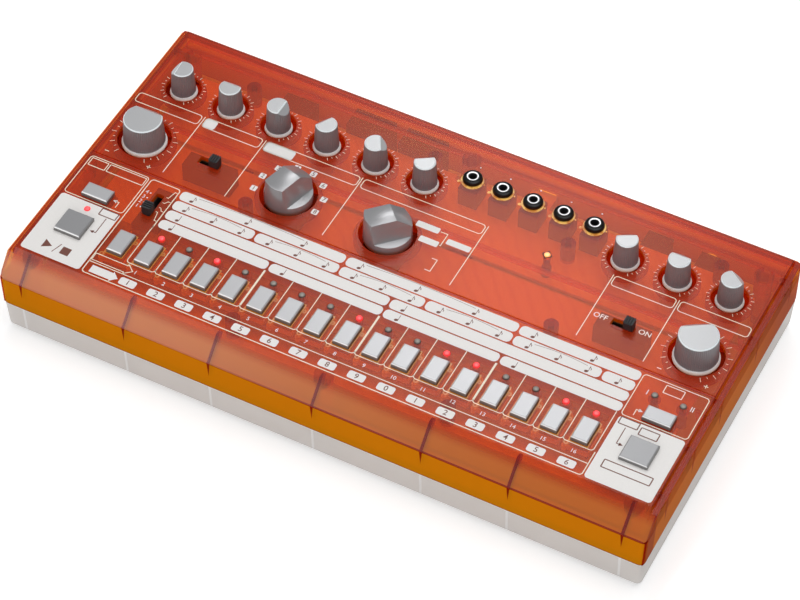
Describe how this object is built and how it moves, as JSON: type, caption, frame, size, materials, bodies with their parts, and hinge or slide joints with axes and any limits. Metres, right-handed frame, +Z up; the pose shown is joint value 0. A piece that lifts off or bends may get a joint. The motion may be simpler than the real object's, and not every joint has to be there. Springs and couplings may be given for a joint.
{
  "type": "desktop drum machine",
  "caption": "Desktop analogue drum machine: translucent slab case with rotary knobs, selector knobs, a row of step buttons with lamps, slide switches and patch jacks; makes rhythm patterns",
  "frame": {"origin": "middle of the footprint at table level", "axes": "X to the right along the row of step buttons, Y to the back where the sockets are, Z up"},
  "size_m": [0.305, 0.165, 0.056],
  "materials": {
    "case_orange": "clear tinted moulding, polished",
    "case_clear": "clear frosted moulding",
    "rubber": "matt",
    "steel": "zinc plated",
    "board": "pale lacquer",
    "pot_metal": "plain",
    "switch_black": "matt",
    "jack_black": "satin",
    "nut_black": "black, satin",
    "lamp_red": "diffuse lens",
    "socket_metal": "plain",
    "knob_grey": "satin silver grey",
    "button_grey": "satin silver grey",
    "cap_black": "matt"
  },
  "bodies": {
    "case": {"upper_case": "case_orange", "lower_case": "case_clear", "feet": "rubber", "case_screws": "steel", "board_screws": "steel", "front_board": "board", "rear_board": "board", "io_board": "board", "pots": "pot_metal", "rotary_switches": "switch_black", "slide_switches": "switch_black", "tact_switches": "switch_black", "patch_jacks": "jack_black", "patch_jack_nuts": "nut_black", "indicator_lamps": "lamp_red", "dc_inlet": "jack_black", "power_switch": "switch_black", "usb_socket": "socket_metal", "midi_sockets": "jack_black", "output_jack": "jack_black", "output_jack_nut": "steel"},
    "knob_accent": {"knob_accent": "knob_grey"},
    "knob_bass_drum": {"knob_bass_drum": "knob_grey"},
    "knob_snare_drum": {"knob_snare_drum": "knob_grey"},
    "knob_tom": {"knob_tom": "knob_grey"},
    "knob_cymbal": {"knob_cymbal": "knob_grey"},
    "knob_hi_hat": {"knob_hi_hat": "knob_grey"},
    "knob_distortion": {"knob_distortion": "knob_grey"},
    "knob_tone": {"knob_tone": "knob_grey"},
    "knob_level": {"knob_level": "knob_grey"},
    "knob_tempo": {"knob_tempo": "knob_grey"},
    "knob_volume": {"knob_volume": "knob_grey"},
    "knob_instrument": {"knob_instrument": "knob_grey"},
    "knob_mode": {"knob_mode": "knob_grey"},
    "step_button_01": {"step_button_01": "button_grey"},
    "step_button_02": {"step_button_02": "button_grey"},
    "step_button_03": {"step_button_03": "button_grey"},
    "step_button_04": {"step_button_04": "button_grey"},
    "step_button_05": {"step_button_05": "button_grey"},
    "step_button_06": {"step_button_06": "button_grey"},
    "step_button_07": {"step_button_07": "button_grey"},
    "step_button_08": {"step_button_08": "button_grey"},
    "step_button_09": {"step_button_09": "button_grey"},
    "step_button_10": {"step_button_10": "button_grey"},
    "step_button_11": {"step_button_11": "button_grey"},
    "step_button_12": {"step_button_12": "button_grey"},
    "step_button_13": {"step_button_13": "button_grey"},
    "step_button_14": {"step_button_14": "button_grey"},
    "step_button_15": {"step_button_15": "button_grey"},
    "step_button_16": {"step_button_16": "button_grey"},
    "function_button": {"function_button": "button_grey"},
    "start_stop_button": {"start_stop_button": "button_grey"},
    "tap_button": {"tap_button": "button_grey"},
    "clear_button": {"clear_button": "button_grey"},
    "pattern_group_button": {"pattern_group_button": "button_grey"},
    "slide_kit": {"slide_kit": "cap_black"},
    "slide_distortion": {"slide_distortion": "cap_black"},
    "slide_scale": {"slide_scale": "cap_black"},
    "power_button": {"power_button": "jack_black"}
  },
  "joints": [
    {"name": "accent_turn", "type": "hinge", "parent": "case", "child": "knob_accent", "pos_m": [-0.1331, 0.0434, 0.0436], "axis": [0, 0, 1], "range_deg": [-245, 55]},
    {"name": "bass_drum_turn", "type": "hinge", "parent": "case", "child": "knob_bass_drum", "pos_m": [-0.10882, 0.0434, 0.0436], "axis": [0, 0, 1], "range_deg": [-150, 150]},
    {"name": "snare_drum_turn", "type": "hinge", "parent": "case", "child": "knob_snare_drum", "pos_m": [-0.08454, 0.0434, 0.0436], "axis": [0, 0, 1], "range_deg": [-60, 240]},
    {"name": "tom_turn", "type": "hinge", "parent": "case", "child": "knob_tom", "pos_m": [-0.06026, 0.0434, 0.0436], "axis": [0, 0, 1], "range_deg": [-210, 90]},
    {"name": "cymbal_turn", "type": "hinge", "parent": "case", "child": "knob_cymbal", "pos_m": [-0.03598, 0.0434, 0.0436], "axis": [0, 0, 1], "range_deg": [-89, 211]},
    {"name": "hi_hat_turn", "type": "hinge", "parent": "case", "child": "knob_hi_hat", "pos_m": [-0.0117, 0.0434, 0.0436], "axis": [0, 0, 1], "range_deg": [-183, 117]},
    {"name": "distortion_turn", "type": "hinge", "parent": "case", "child": "knob_distortion", "pos_m": [0.0847, 0.0434, 0.0436], "axis": [0, 0, 1], "range_deg": [-179, 121]},
    {"name": "tone_turn", "type": "hinge", "parent": "case", "child": "knob_tone", "pos_m": [0.10898, 0.0434, 0.0436], "axis": [0, 0, 1], "range_deg": [-150, 150]},
    {"name": "level_turn", "type": "hinge", "parent": "case", "child": "knob_level", "pos_m": [0.13326, 0.0434, 0.0436], "axis": [0, 0, 1], "range_deg": [-114, 186]},
    {"name": "tempo_turn", "type": "hinge", "parent": "case", "child": "knob_tempo", "pos_m": [-0.1332, 0.0089, 0.0436], "axis": [0, 0, 1], "range_deg": [-150, 150]},
    {"name": "volume_turn", "type": "hinge", "parent": "case", "child": "knob_volume", "pos_m": [0.1331, 0.0089, 0.0436], "axis": [0, 0, 1], "range_deg": [-182, 118]},
    {"name": "instrument_turn", "type": "hinge", "parent": "case", "child": "knob_instrument", "pos_m": [-0.06055, 0.0089, 0.0436], "axis": [0, 0, 1], "range_deg": [-90, 120]},
    {"name": "mode_turn", "type": "hinge", "parent": "case", "child": "knob_mode", "pos_m": [-0.0119, 0.0089, 0.0436], "axis": [0, 0, 1], "range_deg": [-90, 0]},
    {"name": "step_button_01_press", "type": "slide", "parent": "case", "child": "step_button_01", "axis": [0, 0, -1], "range_m": [0, 0.001], "stiffness_N_per_m": 400, "springref_m": -0.001},
    {"name": "step_button_02_press", "type": "slide", "parent": "case", "child": "step_button_02", "axis": [0, 0, -1], "range_m": [0, 0.001], "stiffness_N_per_m": 400, "springref_m": -0.001},
    {"name": "step_button_03_press", "type": "slide", "parent": "case", "child": "step_button_03", "axis": [0, 0, -1], "range_m": [0, 0.001], "stiffness_N_per_m": 400, "springref_m": -0.001},
    {"name": "step_button_04_press", "type": "slide", "parent": "case", "child": "step_button_04", "axis": [0, 0, -1], "range_m": [0, 0.001], "stiffness_N_per_m": 400, "springref_m": -0.001},
    {"name": "step_button_05_press", "type": "slide", "parent": "case", "child": "step_button_05", "axis": [0, 0, -1], "range_m": [0, 0.001], "stiffness_N_per_m": 400, "springref_m": -0.001},
    {"name": "step_button_06_press", "type": "slide", "parent": "case", "child": "step_button_06", "axis": [0, 0, -1], "range_m": [0, 0.001], "stiffness_N_per_m": 400, "springref_m": -0.001},
    {"name": "step_button_07_press", "type": "slide", "parent": "case", "child": "step_button_07", "axis": [0, 0, -1], "range_m": [0, 0.001], "stiffness_N_per_m": 400, "springref_m": -0.001},
    {"name": "step_button_08_press", "type": "slide", "parent": "case", "child": "step_button_08", "axis": [0, 0, -1], "range_m": [0, 0.001], "stiffness_N_per_m": 400, "springref_m": -0.001},
    {"name": "step_button_09_press", "type": "slide", "parent": "case", "child": "step_button_09", "axis": [0, 0, -1], "range_m": [0, 0.001], "stiffness_N_per_m": 400, "springref_m": -0.001},
    {"name": "step_button_10_press", "type": "slide", "parent": "case", "child": "step_button_10", "axis": [0, 0, -1], "range_m": [0, 0.001], "stiffness_N_per_m": 400, "springref_m": -0.001},
    {"name": "step_button_11_press", "type": "slide", "parent": "case", "child": "step_button_11", "axis": [0, 0, -1], "range_m": [0, 0.001], "stiffness_N_per_m": 400, "springref_m": -0.001},
    {"name": "step_button_12_press", "type": "slide", "parent": "case", "child": "step_button_12", "axis": [0, 0, -1], "range_m": [0, 0.001], "stiffness_N_per_m": 400, "springref_m": -0.001},
    {"name": "step_button_13_press", "type": "slide", "parent": "case", "child": "step_button_13", "axis": [0, 0, -1], "range_m": [0, 0.001], "stiffness_N_per_m": 400, "springref_m": -0.001},
    {"name": "step_button_14_press", "type": "slide", "parent": "case", "child": "step_button_14", "axis": [0, 0, -1], "range_m": [0, 0.001], "stiffness_N_per_m": 400, "springref_m": -0.001},
    {"name": "step_button_15_press", "type": "slide", "parent": "case", "child": "step_button_15", "axis": [0, 0, -1], "range_m": [0, 0.001], "stiffness_N_per_m": 400, "springref_m": -0.001},
    {"name": "step_button_16_press", "type": "slide", "parent": "case", "child": "step_button_16", "axis": [0, 0, -1], "range_m": [0, 0.001], "stiffness_N_per_m": 400, "springref_m": -0.001},
    {"name": "function_button_press", "type": "slide", "parent": "case", "child": "function_button", "axis": [0, 0, -1], "range_m": [0, 0.001], "stiffness_N_per_m": 400, "springref_m": -0.001},
    {"name": "start_stop_button_press", "type": "slide", "parent": "case", "child": "start_stop_button", "axis": [0, 0, -1], "range_m": [0, 0.001], "stiffness_N_per_m": 400, "springref_m": -0.001},
    {"name": "tap_button_press", "type": "slide", "parent": "case", "child": "tap_button", "axis": [0, 0, -1], "range_m": [0, 0.001], "stiffness_N_per_m": 400, "springref_m": -0.001},
    {"name": "clear_button_press", "type": "slide", "parent": "case", "child": "clear_button", "axis": [0, 0, -1], "range_m": [0, 0.001], "stiffness_N_per_m": 400, "springref_m": -0.001},
    {"name": "pattern_group_button_press", "type": "slide", "parent": "case", "child": "pattern_group_button", "axis": [0, 0, -1], "range_m": [0, 0.001], "stiffness_N_per_m": 400, "springref_m": -0.001},
    {"name": "kit_slide", "type": "slide", "parent": "case", "child": "slide_kit", "axis": [1, 0, 0], "range_m": [-0.0056, 0]},
    {"name": "distortion_slide", "type": "slide", "parent": "case", "child": "slide_distortion", "axis": [1, 0, 0], "range_m": [-0.0056, 0]},
    {"name": "scale_slide", "type": "slide", "parent": "case", "child": "slide_scale", "axis": [0, 1, 0], "range_m": [0, 0.0086]},
    {"name": "power_press", "type": "slide", "parent": "case", "child": "power_button", "axis": [0, -1, 0], "range_m": [0, 0.002], "stiffness_N_per_m": 400, "springref_m": -0.001}
  ]
}
